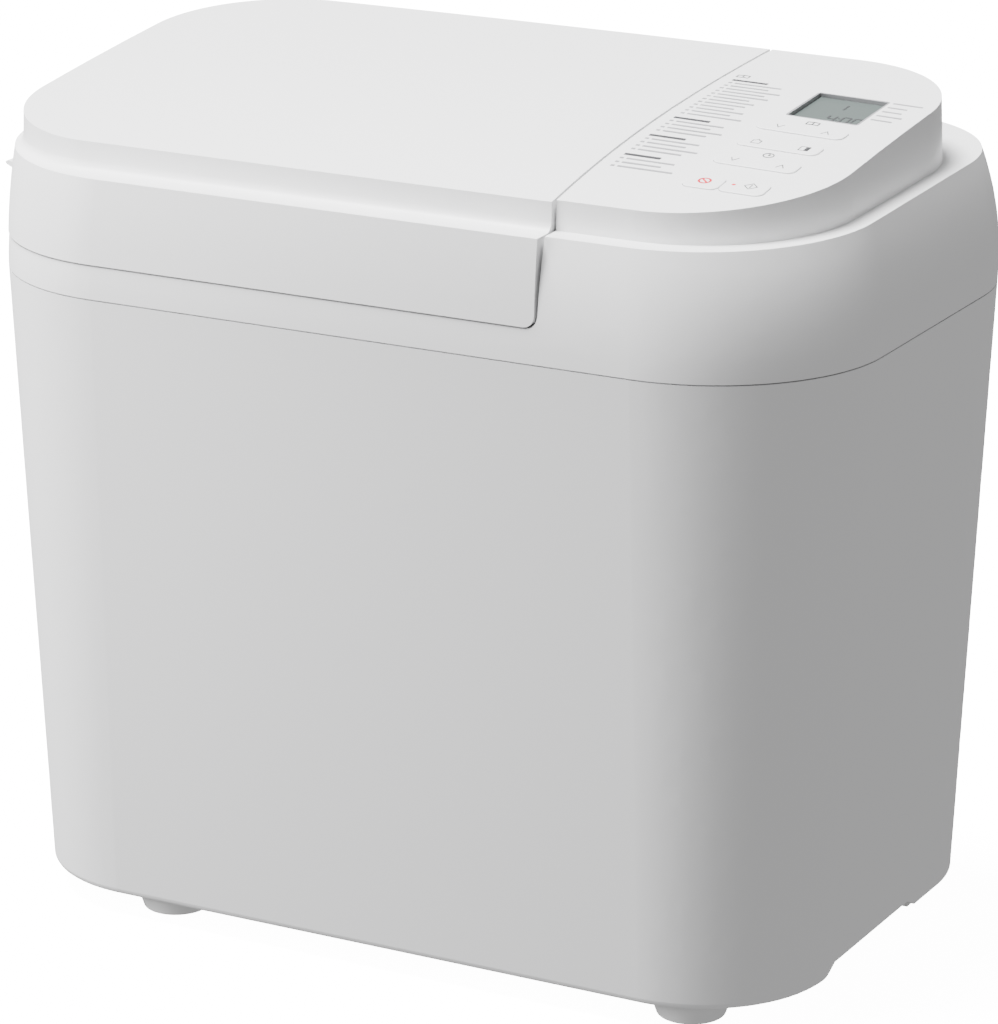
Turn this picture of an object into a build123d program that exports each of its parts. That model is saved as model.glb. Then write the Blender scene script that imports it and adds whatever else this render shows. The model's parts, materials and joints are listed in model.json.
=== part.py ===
from build123d import *
import os
from math import radians, sqrt, tan

os.makedirs("parts", exist_ok=True)

# Bread machine, in millimetres. +X is to the right of a person who faces the machine, -Y is towards
# that person and +Z is up. The origin lies on the floor, under the middle of the overall box.
# "Casing coordinates" start at the casing's own centre line, which is body_x to the right of the origin
# because the steam hood stands out on the left alone.

# --- Casing -------------------------------------------------------------------------------------
hood_reach = 12.0
body_x = hood_reach / 2
wall = 2.5
foot_height = 9.7
seam_z = 277.0
base_half_x, base_half_y, base_radius = 183.0, 116.0, 58.0
seam_half_x, seam_half_y, seam_radius = 198.0, 126.0, 74.0
flare_radius = 173.0  # vertical curve of the band between the seam and the shelf
shelf_z = 330.1  # height of the shelf over the casing's middle
shelf_slope = 0.023
shelf_rise = 53.0  # mean height of the shelf above the seam
shelf_front_radius, shelf_back_radius = 73.0, 62.6

# --- Raised top ---------------------------------------------------------------------------------
top_half_x, top_front, top_back = 181.5, -109.0, 90.0
top_front_radius, top_back_radius = 64.0, 58.0
top_draft = 2.0
top_front_z = 339.8
top_slope, top_sag = 0.145, 0.00021
crown, back_crown = 3.3, 1.0

# --- Lid ----------------------------------------------------------------------------------------
# the lid stands a little proud of the frame, so its walls and raised top have sizes of their own
lid_flare_radius = 403.0
lid_top_half_x, lid_top_front, lid_top_radius = 188.3, -111.0, 51.6
lid_right, lid_rear, lid_skirt_z = 82.0, 97.0, 291.6
lid_corner = 5.0
lid_side_gap, lid_under_gap = 1.2, 0.8
hinge_y, hinge_z = 99.5, 327.3
knuckle_r, pin_r, pin_fit = 4.6, 2.0, 0.06
trough_r = 6.3
lid_knuckles = (-138.0, 40.0)  # middle of each lid knuckle, in casing x
lid_knuckle_length, frame_knuckle_length, knuckle_gap = 24.0, 11.0, 0.6

# --- Oven, pan and drive ------------------------------------------------------------------------
pan_x, pan_y = -58.0, -6.0
chamber_half_x, chamber_half_y, chamber_radius = 110.0, 86.0, 36.0
chamber_floor, chamber_top = 78.0, 287.8
mouth_half_x, mouth_half_y, mouth_radius = 108.5, 84.5, 34.0
pan_half_x, pan_half_y, pan_radius = 88.0, 65.0, 34.0
pan_taper = 5.0
pan_bottom, pan_rim, pan_wall = 97.0, 238.0, 1.6
handle_z, handle_reach = 226.0, 77.0
drive_shaft_r, blade_shaft_r, running_fit = 5.0, 4.0, 0.06
chassis_z = 52.0
belt_z = 36.0
motor_x, motor_y = 120.0, -6.0
large_pulley_r, small_pulley_r = 52.0, 9.0

# --- Controls -----------------------------------------------------------------------------------
key_x = 143.0
key_clearance = 0.25
key_proud = 0.5
key_radius = 3.2
switch_offset = 10.3
# name: (x, y, width, depth) of each key cap on the panel
keys = {
    "key_menu": (key_x, -9.8, 38.0, 10.0),
    "key_size_crust": (142.6, -30.2, 35.4, 10.4),
    "key_timer": (142.6, -51.3, 35.4, 10.4),
    "key_stop": (131.6, -76.5, 15.4, 12.0),
    "key_start": (149.2, -76.5, 19.0, 12.0),
}
display_x, display_y, display_width, display_depth = 144.4, 21.4, 32.4, 33.4
board_depth = 13.0


def plan(height):
    """Horizontal plane on the casing's centre line."""
    return Plane((body_x, 0, height))


def pan_plan(height):
    """Horizontal plane on the axis of the pan and its drive."""
    return Plane((body_x + pan_x, pan_y, height))


def across(x, y, z):
    """Plane that faces +X, drawn in (y, z), at a point in casing coordinates."""
    return Plane(origin=(body_x + x, y, z), x_dir=(0, 1, 0), z_dir=(1, 0, 0))


def facing_front(x, y, z):
    """Plane that faces -Y, drawn in (x, z), at a point in casing coordinates."""
    return Plane(origin=(body_x + x, y, z), x_dir=(1, 0, 0), z_dir=(0, -1, 0))


def top_height(x, y):
    """Height of the crowned top: it climbs to the back on a curve and swells over the middle."""
    step = y - top_front
    share = step / (top_back - top_front)
    swell = crown * share * (1 - share) * (5.375 - 3.375 * share) + back_crown * share
    return top_front_z + top_slope * step - top_sag * step**2 + swell * (1 - (x / top_half_x) ** 2)


def shelf_height(y):
    """Height of the shelf that runs round the raised top."""
    return shelf_z + shelf_slope * y


def panel_plane(x, y, depth=0.0):
    """Plane that lies on the crowned top at (x, y), or the given depth under it."""
    rise_x = top_height(x + 0.5, y) - top_height(x - 0.5, y)
    rise_y = top_height(x, y + 0.5) - top_height(x, y - 0.5)
    normal = Vector(-rise_x, -rise_y, 1)
    return Plane(origin=(body_x + x, y, top_height(x, y)), x_dir=(1, 0, rise_x), z_dir=normal).offset(-depth)


def outline(height, half_x, front, back, front_radius, back_radius):
    """Rectangle with its own corner radius at the front and at the back."""
    with BuildSketch(plan(height)) as shape:
        with Locations((0, (front + back) / 2)):
            Rectangle(2 * half_x, back - front)
        fillet(shape.vertices().group_by(Axis.Y)[0], front_radius)
        fillet(shape.vertices().group_by(Axis.Y)[-1], back_radius)
    return shape.sketch


def housing_outline(height, inset=0.0):
    """Section of the tapered lower casing."""
    share = (height - foot_height) / (seam_z - foot_height)
    half_x = base_half_x + share * (seam_half_x - base_half_x) - inset
    half_y = base_half_y + share * (seam_half_y - base_half_y) - inset
    radius = base_radius + share * (seam_radius - base_radius) - inset
    return outline(height, half_x, -half_y, half_y, radius, radius)


def band_outline(height, inset=0.0, flare=flare_radius):
    """Section of the band above the seam, which leans in on an arc as it rises."""
    lean = flare - sqrt(flare**2 - (height - seam_z) ** 2) + inset
    share = (height - seam_z) / shelf_rise
    front_radius = seam_radius + share * (shelf_front_radius - seam_radius) - inset
    back_radius = seam_radius + share * (shelf_back_radius - seam_radius) - inset
    half_y = seam_half_y - lean
    return outline(height, seam_half_x - lean, -half_y, half_y, front_radius, back_radius)


def raised_top(inset=0.0, half_x=top_half_x, front=top_front, front_radius=top_front_radius):
    """Block under the crowned top, with drafted walls."""

    def section(height):
        draft = (height - shelf_z) * tan(radians(top_draft)) + inset
        return outline(
            height,
            half_x - draft,
            front + draft,
            top_back - draft,
            front_radius - draft,
            top_back_radius - draft,
        )

    rows = [
        [Vector(body_x + x, y, top_height(x, y) - inset) for y in range(-120, 101, 20)]
        for x in range(-200, 201, 25)
    ]
    crowned_face = Face.make_surface_from_array_of_points(rows, tol=0.01)
    with BuildPart() as block:
        loft(sections=[section(300), section(370)], ruled=True)
        extrude(crowned_face, amount=60, dir=(0, 0, 1), mode=Mode.SUBTRACT)
    return block.part


def banded_casing(inset, flare, top):
    """Band above the seam with a raised top on it, cut off at the shelf."""
    with BuildPart() as casing:
        loft(sections=[band_outline(height, inset, flare) for height in (seam_z, 305, 334)])
        shelf_plane = Plane((body_x, 0, shelf_z - inset), z_dir=(0, -shelf_slope, 1))
        split(bisect_by=shelf_plane, keep=Keep.BOTTOM)
        add(top)
    return casing.part


def upper_casing(inset=0.0):
    """Everything above the seam as one solid, with every wall moved in by the inset."""
    return banded_casing(inset, flare_radius, raised_top(inset))


def lid_casing(inset=0.0):
    """The upper casing with the lid's prouder walls, before it is cut to the lid's edges."""
    lid_top = raised_top(inset, lid_top_half_x, lid_top_front, lid_top_radius)
    return banded_casing(inset, lid_flare_radius, lid_top)


def lid_space(side, under, corner, hinge_radius):
    """Space on the left of the casing's top, which the lid fills, with a round trough at the hinge."""
    far_left = -230.0
    with BuildPart() as space:
        with BuildSketch(facing_front(0, lid_rear + side, 0)) as face:
            with Locations((far_left, lid_skirt_z - under)):
                Rectangle(lid_right + side - far_left, 120, align=(Align.MIN, Align.MIN))
            fillet(face.vertices().group_by(Axis.Y)[0].sort_by(Axis.X)[-1], corner)
        extrude(amount=280)
        if hinge_radius:
            with BuildSketch(across(far_left, hinge_y, hinge_z)):
                Circle(hinge_radius)
            extrude(amount=lid_right + side - far_left)
    return space.part


# --- Lower casing -------------------------------------------------------------------------------
grip_front, grip_back, grip_top = -51.0, 24.0, 15.6
grip_ramp = 12.5
gland_x, gland_z, gland_hole_r = 106.0, 40.0, 8.0
vent_count, vent_pitch, vent_width, vent_height = 9, 8.0, 3.2, 42.0
vent_x, vent_z = 84.0, 200.0

with BuildPart() as lower_housing:
    loft(sections=[housing_outline(foot_height), housing_outline(seam_z - 0.6)], ruled=True)
    fillet(lower_housing.edges().group_by(Axis.Z)[0], 3)
    inner_sections = [housing_outline(foot_height, wall), housing_outline(seam_z - 0.6, wall)]
    loft(sections=inner_sections, ruled=True, mode=Mode.SUBTRACT)
    # finger grips in the bottom edge, one on each side
    with BuildSketch(across(-200, 0, 0)):
        with BuildLine():
            Polyline(
                (grip_front - grip_ramp, foot_height - 1),
                (grip_front, grip_top),
                (grip_back, grip_top),
                (grip_back + grip_ramp, foot_height - 1),
                close=True,
            )
        make_face()
    extrude(amount=400, mode=Mode.SUBTRACT)
    # cooling slots and the cord outlet in the back, behind the motor
    with BuildSketch(facing_front(vent_x, 140, vent_z)):
        with GridLocations(vent_pitch, 0, vent_count, 1):
            Rectangle(vent_width, vent_height)
    extrude(amount=40, mode=Mode.SUBTRACT)
    with BuildSketch(facing_front(gland_x, 140, gland_z)):
        Circle(gland_hole_r)
    extrude(amount=40, mode=Mode.SUBTRACT)
lower_housing.part.label = "lower_housing"
export_step(lower_housing.part, "parts/lower_housing.step")

post_spots = [(-140, -64), (-140, 52), (60, -64), (60, 52), (150, -64), (150, 52)]
foot_spots = [(-109.4, -92.2), (137.7, -92.2), (-109.4, 88.0), (137.7, 88.0)]
screw_hole_r = 1.7

with BuildPart() as base_plate:
    base_clear = wall + 0.3
    plate_z = foot_height + 0.2
    plate_sections = [housing_outline(plate_z, base_clear), housing_outline(plate_z + 3, base_clear)]
    loft(sections=plate_sections, ruled=True)
    # posts that carry the chassis, with a screw hole from below
    with BuildSketch(plan(plate_z + 3)):
        with Locations(post_spots):
            Circle(6)
    extrude(amount=chassis_z - plate_z - 3)
    with BuildSketch(plan(plate_z)):
        with Locations(post_spots):
            Circle(screw_hole_r)
    extrude(amount=60, mode=Mode.SUBTRACT)
    # rims that stiffen the feet, and the feet's spigot holes
    with BuildSketch(plan(plate_z + 3)):
        with Locations(foot_spots):
            Circle(11)
            Circle(8, mode=Mode.SUBTRACT)
    extrude(amount=5)
    with BuildSketch(plan(plate_z)):
        with Locations(foot_spots):
            Circle(5)
        with Locations((motor_x - 14, 52)):
            with GridLocations(9, 0, 8, 1):
                SlotOverall(36, 4, rotation=90)
    extrude(amount=3, mode=Mode.SUBTRACT)
    # pockets behind the finger grips
    pocket_inner, pocket_depth = 158.0, 24.0
    for side in (-1, 1):
        pocket_outer = base_half_x - base_clear - 0.5
        pocket_middle = side * (pocket_inner + pocket_outer) / 2
        pocket_width = pocket_outer - pocket_inner
        grip_middle, grip_length = (grip_front + grip_back) / 2, grip_back - grip_front + 16
        with BuildSketch(plan(plate_z + 3)):
            with Locations((pocket_middle, grip_middle)):
                Rectangle(pocket_width, grip_length)
        extrude(amount=pocket_depth)
        with BuildSketch(plan(plate_z)):
            with Locations((pocket_middle + side * 2, grip_middle)):
                Rectangle(pocket_width, grip_length - 4)
        extrude(amount=pocket_depth + 1, mode=Mode.SUBTRACT)
base_plate.part.label = "base_plate"
export_step(base_plate.part, "parts/base_plate.step")

with BuildPart() as feet:
    with Locations([(body_x + x, y, foot_height / 2) for x, y in foot_spots]):
        Cone(bottom_radius=14.2, top_radius=17.5, height=foot_height)
    fillet(feet.edges().group_by(Axis.Z)[0], 1.5)
    with BuildSketch(plan(foot_height)):
        with Locations(foot_spots):
            Circle(4.9)
    extrude(amount=8)
feet.part.label = "feet"
export_step(feet.part, "parts/feet.step")

# --- Top frame, which carries the controls, the oven's mouth and the hinge ------------------------
deck_z = lid_skirt_z - lid_under_gap

with BuildPart() as lid_lining:  # deck, side wall and hinge trough, still solid
    add(upper_casing())
    add(
        lid_space(lid_side_gap + wall, lid_under_gap + wall, lid_corner + wall, trough_r + wall),
        mode=Mode.INTERSECT,
    )

with BuildPart() as top_frame:
    add(upper_casing())
    add(upper_casing(wall), mode=Mode.SUBTRACT)
    add(lid_lining.part)
    add(lid_space(lid_side_gap, lid_under_gap, lid_corner + lid_under_gap, trough_r), mode=Mode.SUBTRACT)
    # tongue that drops into the lower casing
    tongue_half_x, tongue_half_y, tongue_radius = seam_half_x - 5.5, seam_half_y - 5.5, seam_radius - 5.5
    with BuildSketch(plan(seam_z)):
        RectangleRounded(2 * seam_half_x - 2, 2 * seam_half_y - 2, seam_radius - 1)
        RectangleRounded(2 * tongue_half_x, 2 * tongue_half_y, tongue_radius, mode=Mode.SUBTRACT)
    extrude(amount=2)
    with BuildSketch(plan(seam_z)):
        RectangleRounded(2 * tongue_half_x + 4, 2 * tongue_half_y + 4, tongue_radius + 2)
        RectangleRounded(2 * tongue_half_x, 2 * tongue_half_y, tongue_radius, mode=Mode.SUBTRACT)
    extrude(amount=-7)
    # mouth of the oven, with a raised rim
    with BuildSketch(pan_plan(deck_z - wall)):
        RectangleRounded(2 * mouth_half_x + 5, 2 * mouth_half_y + 5, mouth_radius + 2.5)
    extrude(amount=wall + 5)
    with BuildSketch(pan_plan(deck_z - wall)):
        RectangleRounded(2 * mouth_half_x, 2 * mouth_half_y, mouth_radius)
    extrude(amount=wall + 5, mode=Mode.SUBTRACT)
    # hinge knuckles on each side of the lid's own, bored for the pins
    knuckle_offset = lid_knuckle_length / 2 + knuckle_gap + frame_knuckle_length / 2
    for lid_knuckle in lid_knuckles:
        for side in (-1, 1):
            start = lid_knuckle + side * knuckle_offset - frame_knuckle_length / 2
            with BuildSketch(across(start, hinge_y, hinge_z)):
                Circle(knuckle_r)
                with Locations((0, -knuckle_r)):
                    Rectangle(trough_r + 1, knuckle_r, align=(Align.MIN, Align.MIN))
            extrude(amount=frame_knuckle_length)
            with BuildSketch(across(start, hinge_y, hinge_z)):
                Circle(pin_r + pin_fit)
            extrude(amount=frame_knuckle_length, mode=Mode.SUBTRACT)
    # openings for the keys and the display
    for x, y, width, depth in keys.values():
        with BuildSketch(panel_plane(x, y, 8)):
            RectangleRounded(width + 2 * key_clearance, depth + 2 * key_clearance, key_radius + key_clearance)
        extrude(amount=16, mode=Mode.SUBTRACT)
    with BuildSketch(panel_plane(display_x, display_y, 8)):
        RectangleRounded(display_width, display_depth, 1.6)
    extrude(amount=16, mode=Mode.SUBTRACT)
top_frame.part.label = "top_frame"
export_step(top_frame.part, "parts/top_frame.step")

# --- Keys, display and control board --------------------------------------------------------------
lamp_x, lamp_y, lamp_r = 143.8, -75.3, 0.9
cap_depth, flange_gap, flange_thickness, flange_lip = 2.6, 0.6, 1.2, 1.0
stem_r, long_stem_end, short_stem_end = 1.6, 8.6, 8.0

for name, (x, y, width, depth) in keys.items():
    with BuildPart() as key_cap:
        with BuildSketch(panel_plane(x, y, cap_depth + flange_gap)):
            RectangleRounded(width, depth, key_radius)
        extrude(amount=cap_depth + flange_gap + key_proud)
        fillet(key_cap.faces().sort_by(Axis.Z)[-1].edges(), 0.4)
        flange_top = cap_depth + flange_gap
        with BuildSketch(panel_plane(x, y, flange_top + flange_thickness)):
            Rectangle(width - 1.4, depth + 2 * flange_lip)
        extrude(amount=flange_thickness)
        half_pitch = switch_offset if width > 30 else 0
        stem_spots = [(-half_pitch, 0), (half_pitch, 0)] if half_pitch else [(0, 0)]
        stem_end = long_stem_end if half_pitch else short_stem_end
        with BuildSketch(panel_plane(x, y, stem_end)):
            with Locations(stem_spots):
                Circle(stem_r)
        extrude(amount=stem_end - flange_top)
        if name == "key_start":
            with BuildSketch(panel_plane(lamp_x, lamp_y, 6)):
                Circle(lamp_r)
            extrude(amount=12, mode=Mode.SUBTRACT)
    key_cap.part.label = name
    export_step(key_cap.part, f"parts/{name}.step")

with BuildPart() as start_lamp:
    with BuildSketch(panel_plane(lamp_x, lamp_y, cap_depth)):
        Circle(lamp_r)
    extrude(amount=cap_depth + key_proud - 0.05)
start_lamp.part.label = "start_lamp"
export_step(start_lamp.part, "parts/start_lamp.step")

bezel_wall, window_depth, window_thickness = 0.9, 1.8, 4.4

with BuildPart() as display_bezel:
    with BuildSketch(panel_plane(display_x, display_y, 6.2)):
        RectangleRounded(display_width - 0.2, display_depth - 0.2, 1.5)
        Rectangle(display_width - 2 * bezel_wall, display_depth - 2 * bezel_wall, mode=Mode.SUBTRACT)
    extrude(amount=6.1)
    with BuildSketch(panel_plane(display_x, display_y, 6.2)):
        Rectangle(display_width + 3, display_depth + 3)
        Rectangle(display_width - 2 * bezel_wall, display_depth - 2 * bezel_wall, mode=Mode.SUBTRACT)
    extrude(amount=1.4)
display_bezel.part.label = "display_bezel"
export_step(display_bezel.part, "parts/display_bezel.step")

with BuildPart() as display_window:
    with BuildSketch(panel_plane(display_x, display_y, window_depth + window_thickness)):
        Rectangle(display_width - 2 * bezel_wall - 0.2, display_depth - 2 * bezel_wall - 0.2)
    extrude(amount=window_thickness)
display_window.part.label = "display_window"
export_step(display_window.part, "parts/display_window.step")

with BuildPart() as display_module:
    with BuildSketch(panel_plane(display_x, display_y, 10)):
        Rectangle(display_width + 2, display_depth + 2)
    extrude(amount=3.6)
display_module.part.label = "display_module"
export_step(display_module.part, "parts/display_module.step")

board_y, board_width, board_length = -24.0, 62.0, 138.0
board_screws = [(-27, -62), (27, -36), (-27, 62), (27, 10)]
board_plane = panel_plane(key_x - 7, board_y, board_depth)

with BuildPart() as control_board:
    with BuildSketch(board_plane) as board_shape:
        Rectangle(board_width, board_length)
        board_corners = board_shape.vertices().sort_by(Axis.X)
        fillet(board_corners[2:].sort_by(Axis.Y)[0], 26)
        with Locations(board_screws):
            Circle(1.8, mode=Mode.SUBTRACT)
    extrude(amount=-1.6)
control_board.part.label = "control_board"
export_step(control_board.part, "parts/control_board.step")

# push switches stand on the board, one under each stem
switch_spots = []
for x, y, width, depth in keys.values():
    half_pitch = switch_offset if width > 30 else 0
    offsets = (-half_pitch, half_pitch) if half_pitch else (0,)
    switch_spots += [board_plane.to_local_coords(Vector(body_x + x + shift, y, 340)) for shift in offsets]

with BuildPart() as key_switches:
    with BuildSketch(board_plane.offset(0.02)):
        with Locations([(spot.X, spot.Y) for spot in switch_spots]):
            Rectangle(6, 6)
    extrude(amount=2.0)
    with BuildSketch(board_plane.offset(2)):
        with Locations([(spot.X, spot.Y) for spot in switch_spots]):
            Circle(1.7)
    extrude(amount=0.9)
key_switches.part.label = "key_switches"
export_step(key_switches.part, "parts/key_switches.step")

with BuildPart() as board_bolts:
    with BuildSketch(board_plane.offset(0.1)):
        with Locations(board_screws):
            Circle(3)
    extrude(amount=2)
    with BuildSketch(board_plane.offset(0.1)):
        with Locations(board_screws):
            Circle(1.4)
    extrude(amount=-6)
board_bolts.part.label = "board_screws"
export_step(board_bolts.part, "parts/board_screws.step")

# --- Lid ------------------------------------------------------------------------------------------
liner_z, liner_top = 299.0, 322.0
boss_r = 4.0
lid_bosses = [(pan_x + x, pan_y + y) for x in (-108.5, 108.5) for y in (-40, 40)]
hood_front, hood_back, hood_root_z, hood_top_z = -64.0, 22.0, 304.6, 311.8

with BuildPart() as lid_hollow:
    add(lid_casing(wall))
    add(lid_space(-wall, 20, lid_corner, 0), mode=Mode.INTERSECT)

with BuildPart() as lid_cover:
    add(lid_casing())
    top_foot = lid_cover.edges().filter_by(lambda edge: 325 < edge.bounding_box().min.Z)
    top_foot = top_foot.filter_by(lambda edge: edge.bounding_box().max.Z < 334.5)
    top_foot = top_foot.filter_by(lambda edge: abs(edge.center().X - body_x) < lid_top_half_x + 0.5)
    top_foot = top_foot.filter_by(lambda edge: edge.bounding_box().max.Y < top_back + 2)
    top_foot = top_foot.filter_by(lambda edge: edge.bounding_box().min.Y > lid_top_front - 1)
    fillet(top_foot, 4)
    add(lid_space(0, 0, lid_corner, 0), mode=Mode.INTERSECT)
    add(lid_hollow.part, mode=Mode.SUBTRACT)
    # bosses that the liner is screwed to
    for x, y in lid_bosses:
        with BuildSketch(Plane((body_x + x, y, liner_z + 1.1))):
            Circle(boss_r)
            Circle(1.5, mode=Mode.SUBTRACT)
        extrude(amount=top_height(x, y) - liner_z - 2.5)
    # steam outlet in the left wall, under the hood
    with BuildSketch(across(-200, -20, 308)):
        SlotOverall(58, 3)
    extrude(amount=16, mode=Mode.SUBTRACT)
    # hinge knuckles, and pockets for the frame's knuckles
    for middle in lid_knuckles:
        with BuildSketch(across(middle - lid_knuckle_length / 2, hinge_y, hinge_z)):
            Circle(knuckle_r)
        extrude(amount=lid_knuckle_length)
        with BuildSketch(across(middle - 40, hinge_y, hinge_z)):
            Circle(pin_r + pin_fit)
        extrude(amount=80, mode=Mode.SUBTRACT)
        for side in (-1, 1):
            pocket = middle + side * knuckle_offset - frame_knuckle_length / 2 - knuckle_gap
            with BuildSketch(across(pocket, hinge_y, hinge_z)):
                Circle(knuckle_r + 0.6)
            extrude(amount=frame_knuckle_length + 2 * knuckle_gap, mode=Mode.SUBTRACT)
lid_cover.part.label = "lid_cover"
export_step(lid_cover.part, "parts/lid_cover.step")

with BuildPart() as lid_liner:
    with BuildSketch(pan_plan(liner_z)):
        RectangleRounded(228, 180, 40)
    extrude(amount=1)
    with BuildSketch(pan_plan(liner_z)):
        RectangleRounded(206, 160, 34)
    with BuildSketch(pan_plan(liner_top)):
        RectangleRounded(180, 136, 30)
    loft(ruled=True)
    with BuildSketch(pan_plan(liner_z)):
        RectangleRounded(204, 158, 33)
    with BuildSketch(pan_plan(liner_top - 1)):
        RectangleRounded(178, 134, 29)
    loft(ruled=True, mode=Mode.SUBTRACT)
    with BuildSketch(pan_plan(liner_z)):
        with Locations([(x - pan_x, y - pan_y) for x, y in lid_bosses]):
            Circle(1.7)
    extrude(amount=1, mode=Mode.SUBTRACT)
lid_liner.part.label = "lid_liner"
export_step(lid_liner.part, "parts/lid_liner.step")

with BuildPart() as lid_fixings:
    with BuildSketch(Plane((body_x, 0, liner_z - 1.8))):
        with Locations(lid_bosses):
            Circle(3)
    extrude(amount=1.75)
    with BuildSketch(Plane((body_x, 0, liner_z - 0.1))):
        with Locations(lid_bosses):
            Circle(1.4)
    extrude(amount=12)
lid_fixings.part.label = "lid_screws"
export_step(lid_fixings.part, "parts/lid_screws.step")

with BuildPart() as steam_hood:
    with BuildSketch(facing_front(0, hood_back, 0)):
        with BuildLine():
            hood_tip = -seam_half_x - hood_reach
            Polyline(
                (-190, hood_top_z),
                (hood_tip + 1, hood_top_z - 0.8),
                (hood_tip, hood_top_z - 1.6),
                (hood_tip + 1, hood_top_z - 2.4),
                (-190, hood_root_z),
                close=True,
            )
        make_face()
    extrude(amount=hood_back - hood_front)
    with BuildSketch(plan(300)):
        with BuildLine():
            Polyline(
                (-190, hood_front),
                (hood_tip, hood_front + 7),
                (hood_tip, hood_back - 7),
                (-190, hood_back),
                close=True,
            )
        make_face()
    extrude(amount=20, mode=Mode.INTERSECT)
    # steam leaves through slots in the underside
    with BuildSketch(plan(300)):
        with Locations((-200, (hood_front + hood_back) / 2)):
            with GridLocations(0, 10, 1, 6):
                SlotOverall(7, 4)
    extrude(amount=hood_top_z - 302.4, mode=Mode.SUBTRACT)
    add(lid_casing(), mode=Mode.SUBTRACT)
steam_hood.part.label = "steam_hood"
export_step(steam_hood.part, "parts/steam_hood.step")

with BuildPart() as hinge_pins:
    pin_length = lid_knuckle_length + 2 * (frame_knuckle_length + knuckle_gap)
    for middle in lid_knuckles:
        with BuildSketch(across(middle - pin_length / 2, hinge_y, hinge_z)):
            Circle(pin_r)
        extrude(amount=pin_length)
    chamfer(hinge_pins.edges().filter_by(GeomType.CIRCLE), 0.3)
hinge_pins.part.label = "hinge_pins"
export_step(hinge_pins.part, "parts/hinge_pins.step")

# --- Oven -----------------------------------------------------------------------------------------
heater_z, heater_r, heater_half_x, heater_half_y, heater_lead = 125.0, 3.25, 99.0, 75.0, 8.0
sensor_z, sensor_y = 165.0, 30.0

with BuildPart() as oven_chamber:
    with BuildSketch(pan_plan(chamber_floor)):
        RectangleRounded(2 * chamber_half_x, 2 * chamber_half_y, chamber_radius)
    extrude(amount=chamber_top - chamber_floor)
    with BuildSketch(pan_plan(chamber_top - 1)):
        RectangleRounded(2 * chamber_half_x + 8, 2 * chamber_half_y + 8, chamber_radius + 4)
    extrude(amount=1)
    with BuildSketch(pan_plan(chamber_floor + 1)):
        RectangleRounded(2 * chamber_half_x - 2, 2 * chamber_half_y - 2, chamber_radius - 1)
    extrude(amount=chamber_top - chamber_floor - 1, mode=Mode.SUBTRACT)
    with BuildSketch(pan_plan(chamber_floor)):
        Circle(9)
    extrude(amount=1, mode=Mode.SUBTRACT)
    wall_x = pan_x + chamber_half_x - 2
    with BuildSketch(across(wall_x, pan_y, heater_z)):
        with Locations((-heater_lead, 0), (heater_lead, 0)):
            Circle(heater_r + 0.3)
        with Locations((sensor_y, sensor_z - heater_z)):
            Circle(3.2)
    extrude(amount=4, mode=Mode.SUBTRACT)
oven_chamber.part.label = "oven_chamber"
export_step(oven_chamber.part, "parts/oven_chamber.step")

with BuildPart() as heater_element:
    with BuildLine(pan_plan(heater_z)) as heater_path:
        FilletPolyline(
            (chamber_half_x + 14, -heater_lead),
            (heater_half_x, -heater_lead),
            (heater_half_x, -heater_half_y),
            (-heater_half_x, -heater_half_y),
            (-heater_half_x, heater_half_y),
            (heater_half_x, heater_half_y),
            (heater_half_x, heater_lead),
            (chamber_half_x + 14, heater_lead),
            radius=[7, 28, 28, 28, 28, 7],
        )
    with BuildSketch(Plane(origin=heater_path.line @ 0, z_dir=heater_path.line % 0)):
        Circle(heater_r)
    sweep()
heater_element.part.label = "heater_element"
export_step(heater_element.part, "parts/heater_element.step")

with BuildPart() as heater_terminals:
    with BuildSketch(across(pan_x + chamber_half_x + 0.1, pan_y, heater_z)):
        with Locations((-heater_lead, 0), (heater_lead, 0)):
            Circle(5.5)
            Circle(heater_r + 0.05, mode=Mode.SUBTRACT)
    extrude(amount=8)
heater_terminals.part.label = "heater_terminals"
export_step(heater_terminals.part, "parts/heater_terminals.step")

with BuildPart() as heater_clips:
    for side in (-1, 1):
        clip_y = pan_y + side * (heater_half_y + chamber_half_y - 1) / 2
        for x in (-48, 42):
            with BuildSketch(across(pan_x + x, clip_y, heater_z)):
                Rectangle(chamber_half_y - 1 - heater_half_y, 2 * heater_r + 6)
            extrude(amount=6)
            with BuildSketch(across(pan_x + x, pan_y + side * heater_half_y, heater_z)):
                Circle(heater_r + 2.5)
            extrude(amount=6)
            with BuildSketch(across(pan_x + x, pan_y + side * heater_half_y, heater_z)):
                Circle(heater_r + 0.05)
            extrude(amount=6, mode=Mode.SUBTRACT)
heater_clips.part.label = "heater_clips"
export_step(heater_clips.part, "parts/heater_clips.step")

with BuildPart() as temperature_sensor:
    for radius, start, length in ((3.0, -11, 16), (6.5, 0.1, 2), (3.6, 2.1, 8)):
        with BuildSketch(across(pan_x + chamber_half_x + start, pan_y + sensor_y, sensor_z)):
            Circle(radius)
        extrude(amount=length)
temperature_sensor.part.label = "temperature_sensor"
export_step(temperature_sensor.part, "parts/temperature_sensor.step")

with BuildPart() as thermal_fuse:
    with BuildSketch(across(pan_x + chamber_half_x + 0.1, -40, 200)):
        SlotOverall(26, 9)
    extrude(amount=1)
    with BuildSketch(across(pan_x + chamber_half_x + 1.1, -40, 200)):
        SlotOverall(15, 6)
    extrude(amount=5)
thermal_fuse.part.label = "thermal_fuse"
export_step(thermal_fuse.part, "parts/thermal_fuse.step")

shield_x, power_x, power_z = 72.0, 80.0, 196.0

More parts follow.
